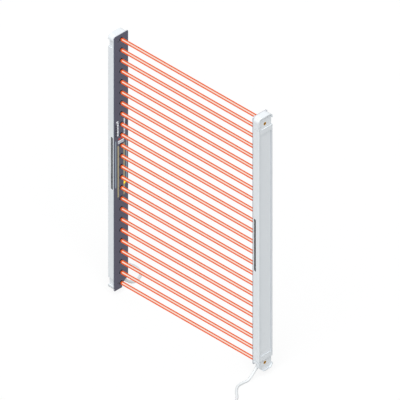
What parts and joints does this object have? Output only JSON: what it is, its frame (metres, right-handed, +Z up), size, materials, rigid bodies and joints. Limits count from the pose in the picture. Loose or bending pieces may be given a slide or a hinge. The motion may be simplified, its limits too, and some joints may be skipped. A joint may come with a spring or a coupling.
{
  "type": "safety light curtain",
  "caption": "Safety light curtain: an emitter and a receiver, each a slim pale housing with a dark slotted optical face, brass mounting inserts and a short pigtail with a round plug.",
  "frame": {"origin": "midway between the emitter's two brass mounting inserts, in the plane of their mouths", "axes": "+X runs along the beams from the emitter to the receiver, +Y across the units, +Z up along them"},
  "size_m": [0.5066, 0.2418, 0.4902],
  "materials": {
    "housing_grey": "fine moulded texture, pale grey",
    "panel_slate": "smooth dark slate",
    "smoked_lens": "smoked, passes infrared",
    "optics_black": "moulded black",
    "board_green": "solder resist",
    "diode_clear": "clear package",
    "chip_black": "moulded package",
    "header_white": "moulded",
    "wire_sleeve": "extruded sleeve",
    "strip_grey": "moulded, dark grey",
    "bar_blue": "translucent pale blue",
    "bar_olive": "translucent olive",
    "light_yellow": "lit yellow",
    "screw_dark": "blackened",
    "seal_rubber": "moulded",
    "insert_brass": "turned",
    "cable_grey": "extruded jacket",
    "plug_black": "moulded",
    "contact_gold": "plated",
    "nut_metal": "nickel plated",
    "seal_red": "moulded"
  },
  "bodies": {
    "curtain": {"emitter_bottom_cap": "housing_grey", "emitter_bottom_gasket": "seal_rubber", "emitter_bottom_insert": "insert_brass", "emitter_cable": "cable_grey", "emitter_circuit_board": "board_green", "emitter_control_chips": "chip_black", "emitter_diodes": "diode_clear", "emitter_front_panel": "panel_slate", "emitter_housing": "housing_grey", "emitter_inner_indicator_bars": "bar_olive", "emitter_lead_wires": "wire_sleeve", "emitter_left_side_strip": "strip_grey", "emitter_lens_strip": "smoked_lens", "emitter_optics_holder": "optics_black", "emitter_outer_indicator_bars": "bar_blue", "emitter_panel_screws": "screw_dark", "emitter_plug_carrier": "plug_black", "emitter_plug_contacts": "contact_gold", "emitter_plug_grip": "plug_black", "emitter_right_side_strip": "strip_grey", "emitter_status_light": "light_yellow", "emitter_strain_relief": "cable_grey", "emitter_top_cap": "housing_grey", "emitter_top_gasket": "seal_rubber", "emitter_top_insert": "insert_brass", "emitter_wire_header": "header_white", "receiver_bottom_cap": "housing_grey", "receiver_bottom_gasket": "seal_rubber", "receiver_bottom_insert": "insert_brass", "receiver_cable": "cable_grey", "receiver_circuit_board": "board_green", "receiver_control_chips": "chip_black", "receiver_diodes": "diode_clear", "receiver_front_panel": "panel_slate", "receiver_housing": "housing_grey", "receiver_inner_indicator_bars": "bar_olive", "receiver_lead_wires": "wire_sleeve", "receiver_left_side_strip": "strip_grey", "receiver_lens_strip": "smoked_lens", "receiver_optics_holder": "optics_black", "receiver_outer_indicator_bars": "bar_blue", "receiver_panel_screws": "screw_dark", "receiver_plug_carrier": "plug_black", "receiver_plug_contacts": "contact_gold", "receiver_plug_grip": "plug_black", "receiver_right_side_strip": "strip_grey", "receiver_status_light": "light_yellow", "receiver_strain_relief": "cable_grey", "receiver_top_cap": "housing_grey", "receiver_top_gasket": "seal_rubber", "receiver_top_insert": "insert_brass", "receiver_wire_header": "header_white"},
    "emitter_coupling": {"emitter_plug_nut": "nut_metal", "emitter_plug_seal": "seal_red"},
    "receiver_coupling": {"receiver_plug_nut": "nut_metal", "receiver_plug_seal": "seal_red"}
  },
  "joints": [
    {"name": "emitter_nut_turn", "type": "hinge", "parent": "curtain", "child": "emitter_coupling", "pos_m": [-0.08971, 0.09036, -0.243], "axis": [-0.7954, 0.606, 0], "continuous": true},
    {"name": "receiver_nut_turn", "type": "hinge", "parent": "curtain", "child": "receiver_coupling", "pos_m": [0.38923, -0.12616, -0.243], "axis": [0.7415, -0.6709, 0], "continuous": true}
  ]
}
